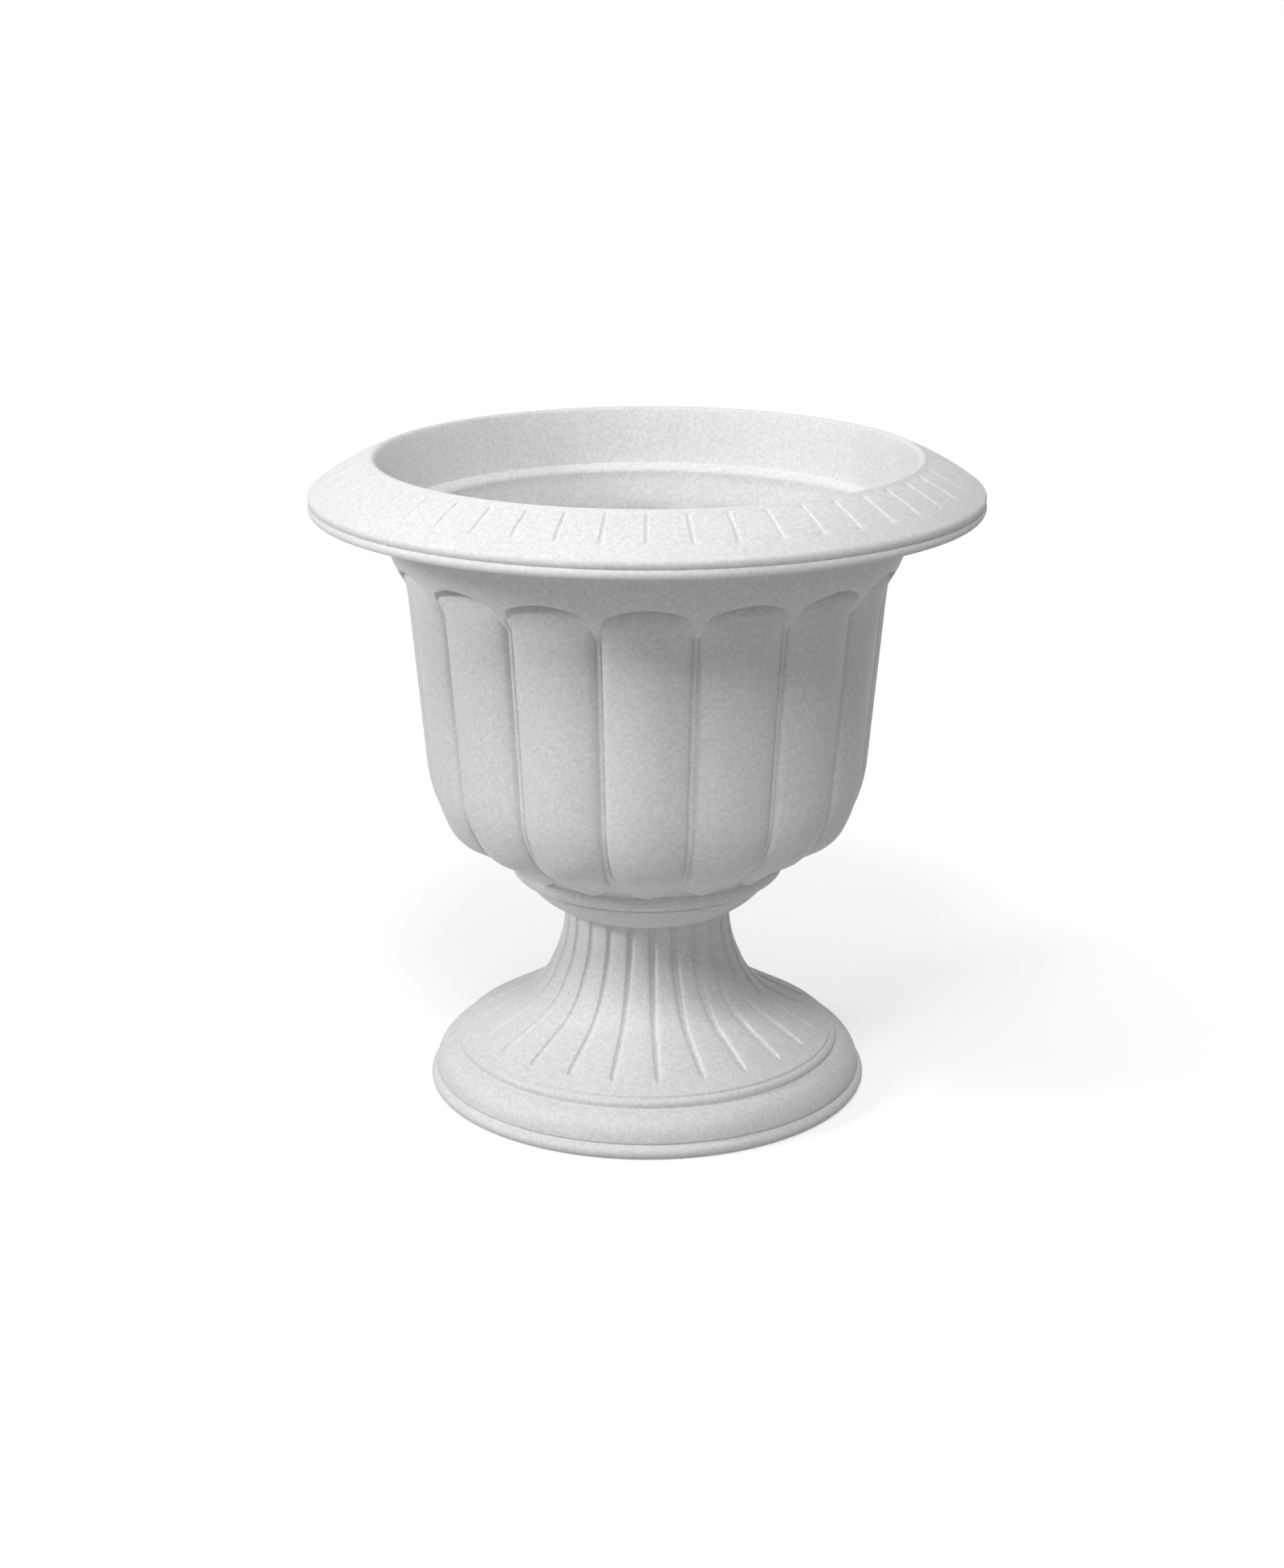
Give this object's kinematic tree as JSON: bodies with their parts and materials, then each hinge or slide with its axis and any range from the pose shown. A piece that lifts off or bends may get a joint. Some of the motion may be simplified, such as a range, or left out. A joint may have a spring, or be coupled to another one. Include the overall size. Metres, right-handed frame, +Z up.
{
  "type": "urn planter",
  "caption": "Round urn planter: a lobed bowl with a wide, grooved, sloping rim, bolted onto a fluted trumpet-shaped pedestal.",
  "frame": {"origin": "centre of the pedestal's foot, on the floor", "axes": "+Z up the axis of the urn, -Y towards the viewer of the picture, where a lobe of the bowl faces"},
  "size_m": [0.4574, 0.4574, 0.4501],
  "materials": {
    "stone": "satin white with a fine grey speckle, moulded stone effect",
    "steel": "zinc plated",
    "rubber": "matte"
  },
  "bodies": {
    "planter": {"pedestal": "stone", "bowl": "stone", "clamp_bolt": "steel", "sealing_washer": "rubber"},
    "washer": {"flat_washer": "steel"},
    "nut": {"wing_nut": "steel"},
    "plug_1": {"drain_plug_1": "rubber"},
    "plug_2": {"drain_plug_2": "rubber"},
    "plug_3": {"drain_plug_3": "rubber"}
  },
  "joints": [
    {"name": "washer_slide", "type": "slide", "parent": "planter", "child": "washer", "axis": [0, 0, -1], "range_m": [0, 0.0126]},
    {"name": "nut_turn", "type": "hinge", "parent": "washer", "child": "nut", "pos_m": [0, 0, 0.125], "axis": [0, 0, 1], "range_deg": [0, 3600]},
    {"name": "plug_1_pull", "type": "slide", "parent": "planter", "child": "plug_1", "axis": [0, 0, 1], "range_m": [0, 0.03]},
    {"name": "plug_2_pull", "type": "slide", "parent": "planter", "child": "plug_2", "axis": [0, 0, 1], "range_m": [0, 0.03]},
    {"name": "plug_3_pull", "type": "slide", "parent": "planter", "child": "plug_3", "axis": [0, 0, 1], "range_m": [0, 0.03]}
  ],
  "couplings": [
    {"joint": "washer_slide", "follows": "nut_turn", "m_per_rad": 0.00019894}
  ]
}
